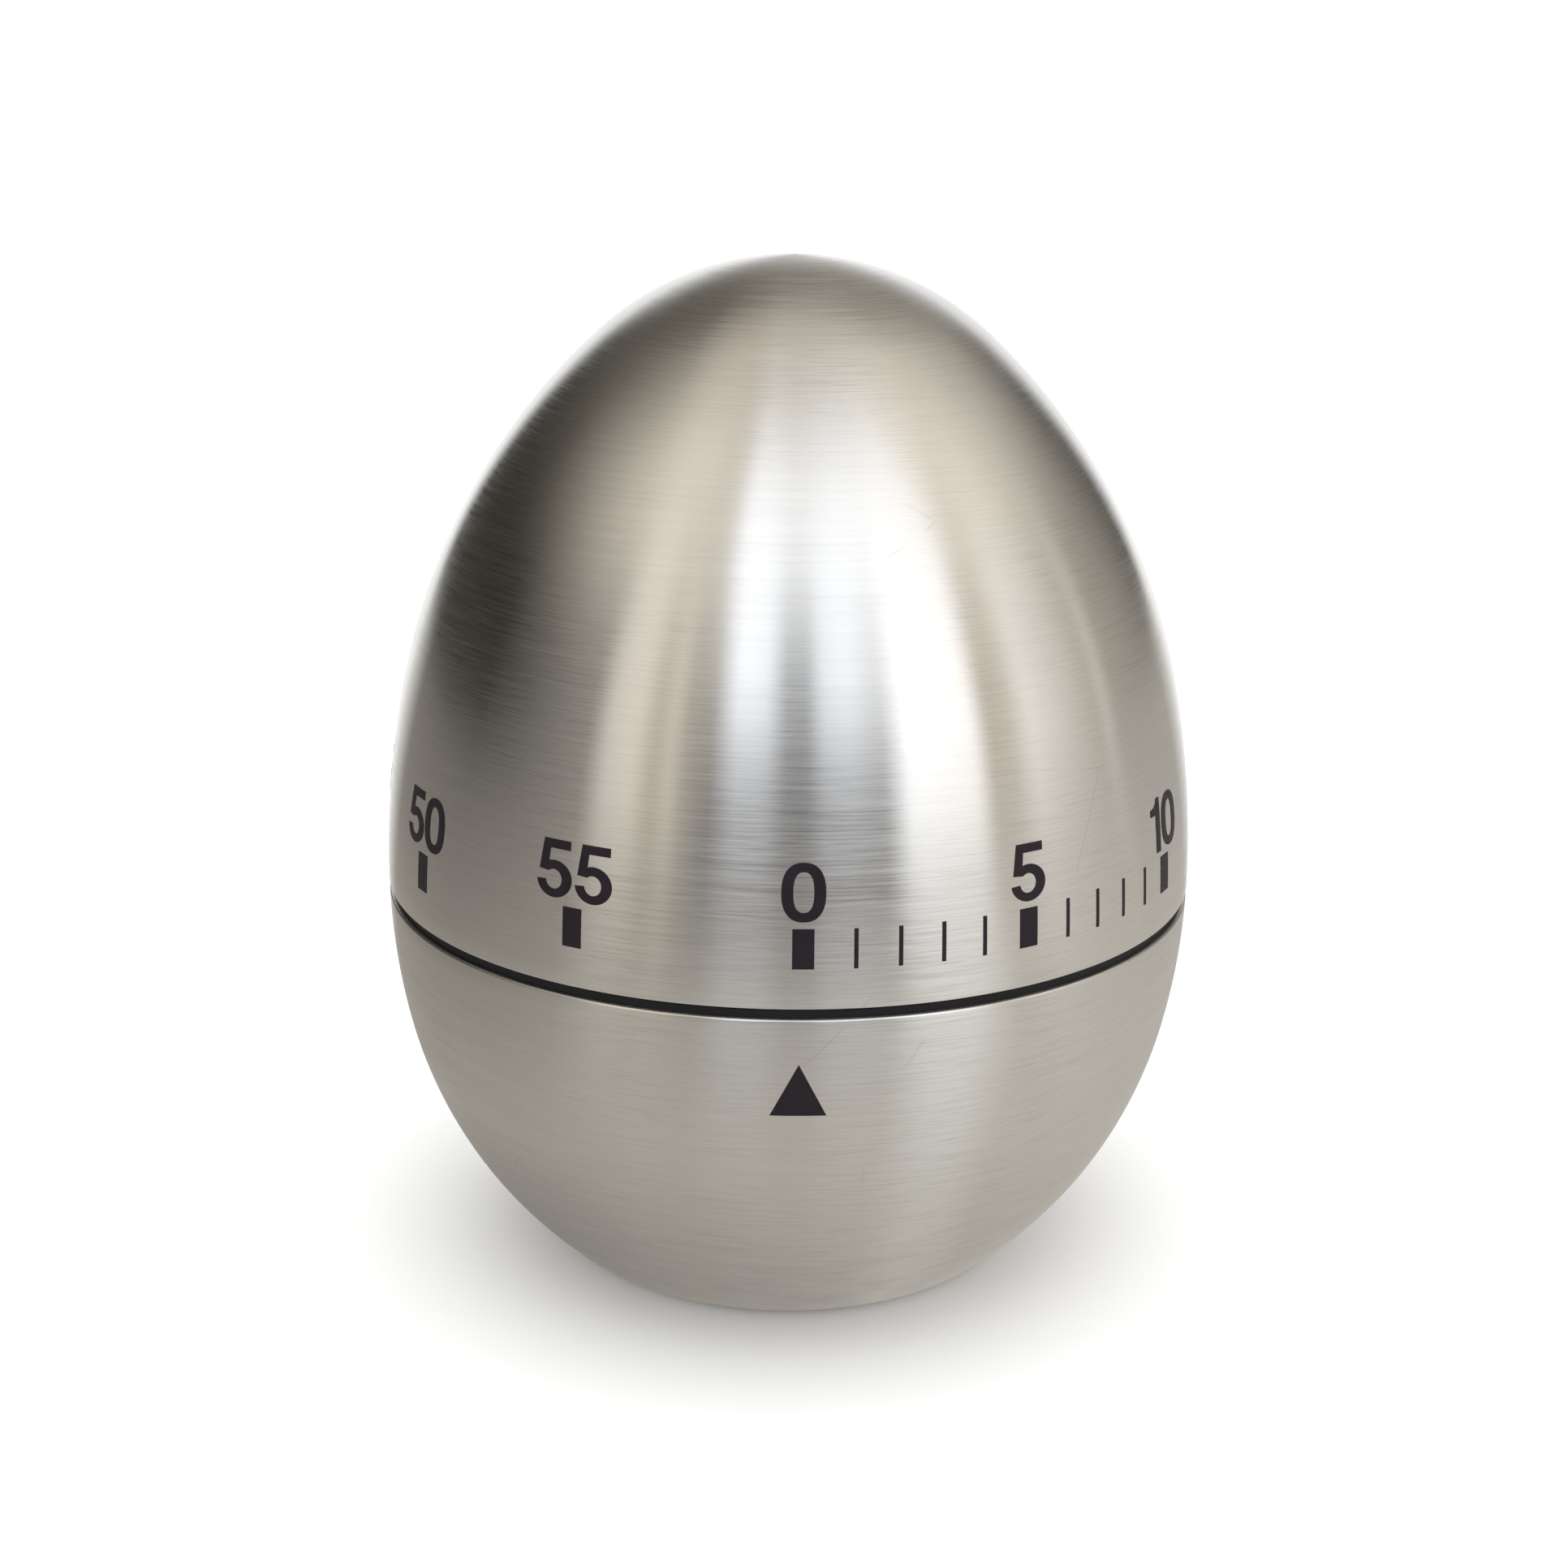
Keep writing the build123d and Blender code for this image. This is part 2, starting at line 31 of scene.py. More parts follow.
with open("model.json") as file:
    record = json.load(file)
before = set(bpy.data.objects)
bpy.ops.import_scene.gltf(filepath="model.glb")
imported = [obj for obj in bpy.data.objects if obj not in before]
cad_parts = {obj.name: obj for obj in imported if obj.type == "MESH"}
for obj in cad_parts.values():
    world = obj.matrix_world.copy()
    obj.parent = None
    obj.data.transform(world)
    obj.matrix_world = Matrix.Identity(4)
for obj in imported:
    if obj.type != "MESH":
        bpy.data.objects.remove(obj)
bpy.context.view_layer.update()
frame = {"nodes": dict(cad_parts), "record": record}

# ---------------------------------------------------------------- the egg's outline, in mm

EGG_RADIUS = 30.0
EQUATOR = 29.12  # height of the widest place, the upper shell's rim
SEAM = 28.42  # the lower shell's rim
BELT_RADIUS, BELT_END = 68.94, 13.0  # outline arcs: radius, and the slope where each ends
SHOULDER_RADIUS, SHOULDER_END = 46.95, 47.7
HIP_RADIUS, HIP_END = 47.6, -12.5
FOOT_RADIUS = 33.3
FLAT = 0.4  # height of the lower shell's flat underside
SHEET = 0.5  # the steel's thickness
ROLL = 0.16  # radius of the rolled sheet edges
EDGE_RADIUS = 1.8  # the bend from the foot to the underside
LIP_RADIUS, LIP_ROLL = 14.8, 0.25  # the hole in the underside, and the radius of its edge
WITHIN = 0.01  # keeps the skins inside the CAD's facets
ABOVE_ALL = 200
INNER_STEP = 2.0  # degrees between the points on the inner faces; the outer ones have 1.0


def follow(arc, radius, end):
    """The arc that runs on smoothly from another, as (centre r, centre z, radius, start, end)."""
    step, turn = arc[2] - radius, math.radians(arc[4])
    return (arc[0] + step * math.cos(turn), arc[1] + step * math.sin(turn), radius, arc[4], end)


def upper_arcs():
    """The upper half's outline, from its rim to the crown."""
    belt = (EGG_RADIUS - BELT_RADIUS, EQUATOR, BELT_RADIUS, 0, BELT_END)
    shoulder = follow(belt, SHOULDER_RADIUS, SHOULDER_END)
    crown_radius = SHOULDER_RADIUS + shoulder[0] / math.cos(math.radians(SHOULDER_END))
    return [belt, shoulder, follow(shoulder, crown_radius, 90)]


def lower_arcs():
    """The lower half's outline, from the underside to the rim."""
    hip = (EGG_RADIUS - HIP_RADIUS, EQUATOR, HIP_RADIUS, 0, HIP_END)
    foot = follow(hip, FOOT_RADIUS, -90)
    rise, reach = FLAT + EDGE_RADIUS - foot[1], FOOT_RADIUS - EDGE_RADIUS
    edge_r = foot[0] + math.sqrt(reach**2 - rise**2)
    meet = math.degrees(math.asin(rise / reach))
    edge = (edge_r, FLAT + EDGE_RADIUS, EDGE_RADIUS, -90, meet)
    return [edge, (*foot[:3], meet, HIP_END), (*hip[:3], HIP_END, 0)]


def skin_points(arcs, low, high, inset=0.0, step=1.0):
    """Points (r, z, slope) up the egg between two heights, a given depth inside it."""
    points = []
    for centre_r, centre_z, radius, start, end in arcs:
        radius -= inset
        bounds = [max(-1, min(1, (h - centre_z) / radius)) for h in (low, high)]
        first = max(start, math.degrees(math.asin(bounds[0])))
        last = min(end, math.degrees(math.asin(bounds[1])))
        if last - first < TINY:
            continue
        count = max(2, math.ceil((last - first) / step))
        for k in range(count + 1):
            slope = math.radians(first + (last - first) * k / count)
            r, z = centre_r + radius * math.cos(slope), centre_z + radius * math.sin(slope)
            if not points or math.dist(points[-1][:2], (r, z)) > SAME_PLACE:
                points.append((r, z, slope))
    return points


def egg_at(height):
    """The egg's radius and slope at a height."""
    for centre_r, centre_z, radius, start, end in lower_arcs() + upper_arcs():
        low = centre_z + radius * math.sin(math.radians(start))
        high = centre_z + radius * math.sin(math.radians(end))
        if low - TINY <= height <= high + TINY:
            slope = math.asin(max(-1, min(1, (height - centre_z) / radius)))
            return centre_r + radius * math.cos(slope), slope
    return 0.0, math.pi / 2


# ---------------------------------------------------------------- meshes


def put_in_scene(name, data):
    obj = bpy.data.objects.new(name, data)
    bpy.context.scene.collection.objects.link(obj)
    return obj


def finish_mesh(mesh, name, material, sharp=32):
    """Shades a mesh smooth up to an angle, and makes its object."""
    mesh.polygons.foreach_set("use_smooth", [True] * len(mesh.polygons))
    mesh.set_sharp_from_angle(angle=math.radians(sharp))
    mesh.materials.append(material)
    return put_in_scene(name, mesh)


def lathe(name, section, material, segments=288):
    """A closed half section, in mm, turned about the upright axis."""
    verts, rings, faces = [], [], []
    for r, z in section:
        if r < TINY:
            rings.append([len(verts)] * segments)
            verts.append((0, 0, z * MM))
            continue
        rings.append([len(verts) + k for k in range(segments)])
        for k in range(segments):
            turn = 2 * math.pi * k / segments
            verts.append((r * MM * math.cos(turn), r * MM * math.sin(turn), z * MM))
    for a, b in zip(rings, rings[1:] + rings[:1]):
        for k in range(segments):
            n = (k + 1) % segments
            corners = []
            for v in (a[k], a[n], b[n], b[k]):
                if v not in corners:
                    corners.append(v)
            if len(corners) > 2:
                faces.append(corners)
    mesh = bpy.data.meshes.new(name)
    mesh.from_pydata(verts, [], faces)
    mesh.validate()
    return finish_mesh(mesh, name, material)


def rolled(centre_r, centre_z, radius, start, end, steps=6):
    """Points round a small rolled edge."""
    turns = [math.radians(start + (end - start) * k / steps) for k in range(steps + 1)]
    return [(centre_r + radius * math.cos(t), centre_z + radius * math.sin(t)) for t in turns]


def upper_shell_section():
    """The dome's sheet, with its rim rolled round."""
    low = EQUATOR + ROLL
    outer = [p[:2] for p in skin_points(upper_arcs(), low, ABOVE_ALL, WITHIN)]
    inner = [p[:2] for p in skin_points(upper_arcs(), low, ABOVE_ALL, SHEET, INNER_STEP)]
    outer[-1] = (0, outer[-1][1])
    inner[-1] = (0, inner[-1][1])
    edge = rolled(EGG_RADIUS - SHEET + ROLL, low, ROLL, 180, 270)
    edge += rolled(EGG_RADIUS - WITHIN - ROLL, low, ROLL, 270, 360)
    return outer + inner[::-1] + edge[1:-1]


def lower_shell_section():
    """The cup's sheet, with its rim and the hole in its underside rolled round."""
    high = SEAM - ROLL
    outer = [p[:2] for p in skin_points(lower_arcs(), FLAT, high, WITHIN)]
    inner = [p[:2] for p in skin_points(lower_arcs(), FLAT + SHEET, high, SHEET, INNER_STEP)]
    outer_r, inner_r = outer[-1][0], inner[-1][0]
    edge = rolled(outer_r - ROLL, high, ROLL, 0, 90) + rolled(inner_r + ROLL, high, ROLL, 90, 180)
    lip = rolled(LIP_RADIUS + LIP_ROLL, FLAT + LIP_ROLL, LIP_ROLL, 90, 270, 8)
    return outer + edge[1:-1] + inner[::-1] + lip


# ---------------------------------------------------------------- print on the steel


INK_SUNK, INK_PROUD = -0.02, 0.014  # how far the ink reaches below and above the steel
CUT_ACROSS, CUT_UP = 0.3, 0.6  # spacing of the cuts that let a mark bend


def cut_up(bm, values, normal, step):
    """Cuts a flat mesh across at even steps along one axis."""
    low, high = min(values), max(values)
    count = max(1, math.ceil((high - low) / step))
    for k in range(1, count):
        at = low + (high - low) * k / count
        geometry = bm.verts[:] + bm.edges[:] + bm.faces[:]
        place = [c * at for c in normal]
        bmesh.ops.bisect_plane(bm, geom=geometry, plane_co=place, plane_no=normal)


def put_in_order(bm):
    """Numbers a mesh's parts by where they are, because the cuts leave them in any order."""
    places = (
        (bm.verts, lambda vert: vert.co),
        (bm.edges, lambda edge: edge.verts[0].co + edge.verts[1].co),
        (bm.faces, lambda face: face.calc_center_median()),
    )
    for parts, place in places:
        for index, part in enumerate(sorted(parts, key=lambda part: tuple(place(part)))):
            part.index = index
        parts.sort()


def wrap(flat, azimuth, build):
    """Bends flat marks, drawn in mm with y the height, round the egg as thin closed ink."""
    bm = bmesh.new()
    bm.from_mesh(flat)
    xs = [v.co.x for v in bm.verts]
    ys = [v.co.y for v in bm.verts]
    cut_up(bm, xs, (1, 0, 0), CUT_ACROSS)
    cut_up(bm, ys, (0, 1, 0), CUT_UP)
    middle = egg_at((min(ys) + max(ys)) / 2)[0]
    made = bmesh.ops.extrude_face_region(bm, geom=bm.faces[:], use_keep_orig=True)
    outside = {g for g in made["geom"] if isinstance(g, bmesh.types.BMVert)}
    for v in bm.verts:
        v.co.z = INK_PROUD if v in outside else INK_SUNK
    bmesh.ops.recalc_face_normals(bm, faces=bm.faces[:])
    for v in bm.verts:
        radius, slope = egg_at(v.co.y)
        turn = azimuth + v.co.x / middle
        reach = radius + v.co.z * math.cos(slope)
        height = v.co.y + v.co.z * math.sin(slope)
        v.co = Vector((reach * math.sin(turn), -reach * math.cos(turn), height)) * MM
    put_in_order(bm)
    mesh = bpy.data.meshes.new("mark")
    bm.to_mesh(mesh)
    bm.free()
    build.append(mesh)


def polygon(points):
    """A flat mesh of one face."""
    mesh = bpy.data.meshes.new("outline")
    mesh.from_pydata([(x, y, 0) for x, y in points], [], [list(range(len(points)))])
    return mesh


def rectangle(width, low, high):
    """An upright flat bar about x = 0."""
    half = width / 2
    return polygon([(-half, low), (half, low), (half, high), (-half, high)])


OVAL_STEP = 9  # degrees


def oval(centre_x, centre_y, reach_x, reach_y, start, end, power=1.0):
    """Points along part of an oval; a power under one makes its sides flatter."""
    count = max(4, round(abs(end - start) / OVAL_STEP))
    points = []
    for k in range(count + 1):
        turn = math.radians(start + (end - start) * k / count)
        across, up = (math.copysign(abs(c) ** power, c) for c in (math.cos(turn), math.sin(turn)))
        points.append((centre_x + reach_x * across, centre_y + reach_y * up))
    return points


# Each digit's outlines, in units of its height, from its left foot.


def zero_outlines():
    outer = oval(0.367, 0.5, 0.372, 0.5, 0, 351, 0.84)
    inner = oval(0.367, 0.5, 0.172, 0.342, 0, 351, 0.80)
    return [outer, inner]


def one_outlines():
    flag = [(0.36, 1.0), (0.335, 0.92), (0.265, 0.855), (0.10, 0.825), (0.10, 0.705)]
    return [[(0.31, 0), (0.495, 0), (0.495, 1.0), *flag, (0.31, 0.705)]]


def two_outlines():
    foot = [(0.285, 0.15), (0.71, 0.15), (0.71, 0), (0, 0), (0.02, 0.115)]
    outer = oval(0.36, 0.70, 0.345, 0.30, 187, -28)
    inner = oval(0.355, 0.695, 0.165, 0.150, -35, 187)
    return [outer + foot + inner]


def three_outlines():
    over = oval(0.345, 0.735, 0.315, 0.265, 187, -52)
    under = oval(0.36, 0.285, 0.35, 0.285, 52, -175)
    inner_low = oval(0.35, 0.29, 0.160, 0.140, -175, 80)
    inner_high = oval(0.34, 0.735, 0.145, 0.120, -80, 187)
    return [over + under + inner_low + [(0.25, 0.445), (0.25, 0.585)] + inner_high]


def four_outlines():
    stem = [(0.44, 0), (0.615, 0), (0.615, 0.215), (0.73, 0.215), (0.73, 0.365), (0.615, 0.365)]
    slope = [(0.615, 1.0), (0.42, 1.0), (0, 0.375), (0, 0.215), (0.44, 0.215)]
    return [stem + slope, [(0.44, 0.365), (0.44, 0.78), (0.155, 0.365)]]


def five_outlines():
    stem = [(0.67, 1.0), (0.125, 1.0), (0.05, 0.465)]
    inner = oval(0.352, 0.318, 0.167, 0.170, 130, -173)
    outer = oval(0.362, 0.322, 0.355, 0.322, 187, 470)
    return [stem + inner + outer + [(0.262, 0.845), (0.67, 0.845)]]


# The outlines and the width of each digit.
DIGITS = {
    "0": (zero_outlines, 0.734), "1": (one_outlines, 0.53), "2": (two_outlines, 0.71),
    "3": (three_outlines, 0.71), "4": (four_outlines, 0.73), "5": (five_outlines, 0.717),
}


def filled(outlines):
    """A flat mesh inside closed outlines; an outline within another is a hole."""
    curve = bpy.data.curves.new("outline", "CURVE")
    curve.dimensions = "2D"
    curve.fill_mode = "BOTH"
    for points in outlines:
        spline = curve.splines.new("POLY")
        spline.points.add(len(points) - 1)
        for spot, (x, y) in zip(spline.points, points):
            spot.co = (x, y, 0, 1)
        spline.use_cyclic_u = True
    obj = put_in_scene("outline", curve)
    graph = bpy.context.evaluated_depsgraph_get()
    mesh = bpy.data.meshes.new_from_object(obj.evaluated_get(graph))
    bpy.data.objects.remove(obj)
    return mesh


def numeral(text, low, high, gap):
    """Digits side by side over the middle of their bar."""
    size = high - low
    widths = [DIGITS[digit][1] * size for digit in text]
    left = -(sum(widths) + gap * (len(text) - 1)) / 2
    outlines = []
    for digit, width in zip(text, widths):
        for line in DIGITS[digit][0]():
            outlines.append([(left + x * size, low + y * size) for x, y in line])
        left += width + gap
    return filled(outlines)


def join(name, meshes, material):
    """Many meshes as one piece."""
    bm = bmesh.new()
    for mesh in meshes:
        bm.from_mesh(mesh)
    whole = bpy.data.meshes.new(name)
    bm.to_mesh(whole)
    bm.free()
    return finish_mesh(whole, name, material)


# Heights, widths and angles of the print.
SCALE_LOW, SCALE_HIGH = EQUATOR + 2.80, EQUATOR + 5.47
FIGURE_LOW, FIGURE_HIGH = EQUATOR + 5.92, EQUATOR + 9.78
BAR_WIDTH, TICK_WIDTH = 1.42, 0.28
BAR_ANGLE = 1.8  # degrees that a bar takes up
FIGURE_GAP = 0.22
POINTER_LOW, POINTER_HIGH, POINTER_HALF_WIDTH = EQUATOR - 7.66, EQUATOR - 3.86, 1.88
POINTER_TURN = -0.35  # degrees that the pointer stands off the front
BAR_APART = 30  # degrees between bars, five minutes


def minute_scale(material):
    """Bars and numerals every five minutes, and fine minute ticks over the first ten."""
    marks = []
    for k in range(12):
        azimuth = math.radians(BAR_APART * k)
        wrap(rectangle(BAR_WIDTH, SCALE_LOW, SCALE_HIGH), azimuth, marks)
        wrap(numeral(str(5 * k), FIGURE_LOW, FIGURE_HIGH, FIGURE_GAP), azimuth, marks)
    for minute in (1, 2, 3, 4, 6, 7, 8, 9):
        bars, ticks = divmod(minute, 5)
        azimuth = BAR_APART * bars + BAR_ANGLE / 2 + ticks * (BAR_APART - BAR_ANGLE) / 5
        wrap(rectangle(TICK_WIDTH, SCALE_LOW, SCALE_HIGH), math.radians(azimuth), marks)
    return join("minute_scale", marks, material)


def pointer(material):
    """The triangle that the dial is read against."""
    marks = []
    half, low, high = POINTER_HALF_WIDTH, POINTER_LOW, POINTER_HIGH
    wrap(polygon([(-half, low), (half, low), (0, high)]), math.radians(POINTER_TURN), marks)
    return join("pointer_mark", marks, material)


# ---------------------------------------------------------------- materials


# Noise scales are in cells a metre, and bump depths in metres.
SHELL_TONE = (0.74, 0.73, 0.71)
TOP_ROUGHNESS, BASE_ROUGHNESS = 0.20, 0.24
SCRATCH_TONE = (0.30, 0.28, 0.25)


class Nodes:
    """A short way to write a material's nodes."""

    def __init__(self, name):
        self.material = bpy.data.materials.new(name)
        self.material.use_nodes = True
        self.tree = self.material.node_tree
        self.shader = self.tree.nodes["Principled BSDF"]
        self.place = self.add("ShaderNodeTexCoord").outputs["Object"]

    def add(self, kind, **settings):
        node = self.tree.nodes.new(kind)
        for key, value in settings.items():
            setattr(node, key, value)
        return node

    def link(self, a, b):
        self.tree.links.new(a, b)

    def math(self, operation, a, b=0.0):
        """One sum, of numbers or sockets."""
        node = self.add("ShaderNodeMath", operation=operation)
        for socket, value in zip(node.inputs, (a, b)):
            if isinstance(value, (int, float)):
                socket.default_value = value
            else:
                self.link(value, socket)
        return node.outputs[0]

    def parts(self, vector):
        """A vector's x, y and z."""
        node = self.add("ShaderNodeSeparateXYZ")
        self.link(vector, node.inputs[0])
        return node.outputs

    def stretched(self, x, y, z):
        """The object's own place, scaled along each axis."""
        node = self.add("ShaderNodeVectorMath", operation="MULTIPLY")
        self.link(self.place, node.inputs[0])
        node.inputs[1].default_value = (x, y, z)
        return node.outputs[0]

    def noise(self, vector, scale=1.0, detail=2.0, rough=0.5, distortion=0.0):
        node = self.add("ShaderNodeTexNoise")
        self.link(vector, node.inputs["Vector"])
        node.inputs["Scale"].default_value = scale
        node.inputs["Detail"].default_value = detail
        node.inputs["Roughness"].default_value = rough
        node.inputs["Distortion"].default_value = distortion
        return node.outputs["Fac"]

    def remap(self, value, low, high, out_low, out_high):
        """Takes one range to another, and holds the ends."""
        node = self.add("ShaderNodeMapRange")
        self.link(value, node.inputs["Value"])
        limits = {"From Min": low, "From Max": high, "To Min": out_low, "To Max": out_high}
        for name, number in limits.items():
            node.inputs[name].default_value = number
        return node.outputs["Result"]

    def spread(self, noise, out_low, out_high):
        """Takes noise, which lies mostly between 0.3 and 0.7, to a range."""
        return self.remap(noise, 0.3, 0.7, out_low, out_high)

    def mix(self, factor, a, b):
        node = self.add("ShaderNodeMix", data_type="RGBA")
        self.link(factor, node.inputs["Factor"])
        for socket, value in ((node.inputs["A"], a), (node.inputs["B"], b)):
            if isinstance(value, tuple):
                socket.default_value = (*value, 1)
            else:
                self.link(value, socket)
        return node.outputs["Result"]

    def bump(self, height, distance, strength=1.0):
        node = self.add("ShaderNodeBump")
        self.link(height, node.inputs["Height"])
        node.inputs["Distance"].default_value = distance
        node.inputs["Strength"].default_value = strength
        self.link(node.outputs["Normal"], self.shader.inputs["Normal"])

    def set(self, **values):
        """Sets the shader's own sockets."""
        for name, value in values.items():
            self.shader.inputs[name.replace("_", " ")].default_value = value

    def feed(self, colour, roughness):
        self.link(colour, self.shader.inputs["Base Color"])
        self.link(roughness, self.shader.inputs["Roughness"])


def egg_grain(n, slope_scale, round_scale, detail=3.0):
    """Noise drawn out round the egg: fine up the side, long round it, at the crown as well."""
    x, y, z = n.parts(n.place)
    radius = n.math("SQRT", n.math("ADD", n.math("MULTIPLY", x, x), n.math("MULTIPLY", y, y)))
    climb = n.math("MULTIPLY", n.math("SUBTRACT", z, radius), slope_scale)
    vector = n.add("ShaderNodeCombineXYZ")
    n.link(n.math("MULTIPLY", x, round_scale), vector.inputs[0])
    n.link(n.math("MULTIPLY", y, round_scale), vector.inputs[1])
    n.link(climb, vector.inputs[2])
    return n.noise(vector.outputs[0], 1.0, detail, 0.6)


def scratches(n):
    """A few hairline scratches at odd angles: 1 on a scratch, 0 elsewhere."""
    web = n.add("ShaderNodeTexVoronoi", feature="DISTANCE_TO_EDGE")
    n.link(n.stretched(1, 0.6, 1.4), web.inputs["Vector"])
    web.inputs["Scale"].default_value = 60.0
    line = n.remap(web.outputs["Distance"], 0.0, 0.006, 1, 0)
    patch = n.remap(n.noise(n.place, 110.0, 2.0), 0.62, 0.66, 0, 1)
    return n.math("MULTIPLY", line, patch)


def brushed_shell(name, roughness, tone):
    """Steel brushed round the egg, so its highlights spread up and down."""
    n = Nodes(name)
    fine = egg_grain(n, 9000, 230)
    broad = egg_grain(n, 2200, 60, 2.0)
    cloud = n.noise(n.place, 45.0, 3.0)
    duller, dark = (tuple(part * c for c in tone) for part in (0.95, 0.80))
    colour = n.mix(n.remap(cloud, 0.35, 0.65, 0, 1), duller, tone)
    colour = n.mix(n.remap(fine, 0.30, 0.56, 0.55, 0.0), colour, dark)
    colour = n.mix(n.math("MULTIPLY", scratches(n), 0.16), colour, SCRATCH_TONE)
    wave = n.spread(broad, roughness - 0.02, roughness + 0.02)
    n.feed(colour, n.math("ADD", n.spread(fine, -0.04, 0.04), wave))
    n.set(Metallic=1.0, Anisotropic=1.0, Anisotropic_Rotation=0.25)
    tangent = n.add("ShaderNodeTangent", direction_type="RADIAL", axis="Z")
    n.link(tangent.outputs[0], n.shader.inputs["Tangent"])
    height = n.math("ADD", n.math("MULTIPLY", fine, 0.6), n.math("MULTIPLY", broad, 0.4))
    n.bump(height, 0.0000025, 0.38)
    return n.material


def black_plastic(name):
    """Moulded plastic with a fine grain."""
    n = Nodes(name)
    grain = n.noise(n.place, 5200.0, 2.0)
    cloud = n.noise(n.place, 160.0, 3.0)
    colour = n.mix(cloud, (0.005, 0.005, 0.007), (0.012, 0.012, 0.014))
    n.feed(colour, n.remap(n.math("ADD", grain, cloud), 0.6, 1.4, 0.42, 0.58))
    n.set(IOR=1.42, Specular_IOR_Level=0.25)
    n.bump(grain, 0.00002, 0.5)
    return n.material


def ink(name):
    """Screen printing ink, nearly black with a little purple."""
    n = Nodes(name)
    speckle = n.noise(n.place, 3800.0, 3.0)
    cloud = n.noise(n.place, 500.0, 2.0)
    colour = n.mix(cloud, (0.007, 0.004, 0.008), (0.015, 0.009, 0.015))
    n.feed(colour, n.spread(speckle, 0.36, 0.52))
    n.set(IOR=1.42, Specular_IOR_Level=0.3)
    n.bump(speckle, 0.000006, 0.4)
    return n.material


def metal(name, tone, tarnish, roughness, grain):
    """Sheet or turned metal: grain is how fine the finish is along x, y and z."""
    n = Nodes(name)
    fine = n.noise(n.stretched(*grain), 1.0, 3.0, 0.6)
    cloud = n.noise(n.place, 260.0, 4.0, 0.6, 0.6)
    colour = n.mix(n.remap(cloud, 0.45, 0.72, 0.0, 0.8), tone, tarnish)
    wear = n.add("ShaderNodeNewGeometry").outputs["Pointiness"]
    bright = tuple(min(1, 1.18 * c + 0.03) for c in tone)
    colour = n.mix(n.remap(wear, 0.52, 0.62, 0.0, 0.35), colour, bright)
    even = n.spread(fine, roughness - 0.05, roughness + 0.05)
    n.feed(colour, n.math("ADD", even, n.remap(cloud, 0.4, 0.7, 0, 0.12)))
    n.set(Metallic=1.0)
    n.bump(fine, 0.000004, 0.6)
    return n.material


# Slot, colour, tarnished colour, roughness, and how fine the finish is along x, y and z.
METALS = (
    ("plate_steel", (0.62, 0.62, 0.61), (0.40, 0.38, 0.35), 0.34, (900, 9000, 900)),
    ("arbor_steel", (0.60, 0.60, 0.61), (0.45, 0.44, 0.42), 0.22, (1200, 1200, 12000)),
    ("spring_steel", (0.30, 0.33, 0.42), (0.22, 0.20, 0.24), 0.28, (1500, 1500, 6000)),
    ("screw_steel", (0.66, 0.62, 0.50), (0.48, 0.42, 0.30), 0.30, (5000, 5000, 5000)),
    ("nickel", (0.72, 0.70, 0.66), (0.58, 0.54, 0.47), 0.16, (700, 700, 7000)),
    ("brass", (0.80, 0.60, 0.27), (0.50, 0.33, 0.14), 0.30, (800, 7000, 800)),
)


def paint_inside():
    """Gives every CAD piece its finish; the two steel shells are replaced further down."""
    finishes = {"black_plastic": black_plastic("black_abs")}
    for slot, tone, tarnish, roughness, grain in METALS:
        finishes[slot] = metal(slot, tone, tarnish, roughness, grain)
    slots = {row["node"]: row["material_slot"] for row in frame["record"]["subparts"]}
    for node, obj in frame["nodes"].items():
        if slots[node] in finishes:
            obj.data.materials.clear()
            obj.data.materials.append(finishes[slots[node]])


# ---------------------------------------------------------------- the studio


FLOOR_RADIUS, FLOOR_TONE = 6.0, (0.90, 0.90, 0.89)
LAMP_AT, LAMP_SIZE, LAMP_WATTS = (0, -0.1, 0.9), 0.9, 3
ROOM_BRIGHTNESS = 1.25


def paper(name, colour):
    """The floor's matt finish."""
    n = Nodes(name)
    shade = n.noise(n.place, 30.0, 3.0)
    n.link(n.mix(shade, tuple(0.99 * c for c in colour), colour), n.shader.inputs["Base Color"])
    n.set(Roughness=0.9, Specular_IOR_Level=0.1)
    return n.material


def glow(name, strength=1.0):
    """An emitting surface; returns its nodes and its colour socket."""
    n = Nodes(name)
    n.tree.nodes.remove(n.shader)
    emission = n.add("ShaderNodeEmission")
    n.link(emission.outputs[0], n.tree.nodes["Material Output"].inputs["Surface"])
    emission.inputs["Strength"].default_value = strength
    return n, emission.inputs["Color"]


def mirrored_only(obj):
    """Leaves an object to be seen in the steel, and to light nothing else."""
    obj.visible_camera = False
    obj.visible_diffuse = False
    obj.visible_shadow = False
    return obj


def disc_object(name, radius, height, material, segments=96):
    turns = [2 * math.pi * k / segments for k in range(segments)]
    points = [(radius * math.cos(turn), radius * math.sin(turn), height) for turn in turns]
    mesh = bpy.data.meshes.new(name)
    mesh.from_pydata(points, [], [list(range(segments))])
    mesh.materials.append(material)
    return put_in_scene(name, mesh)


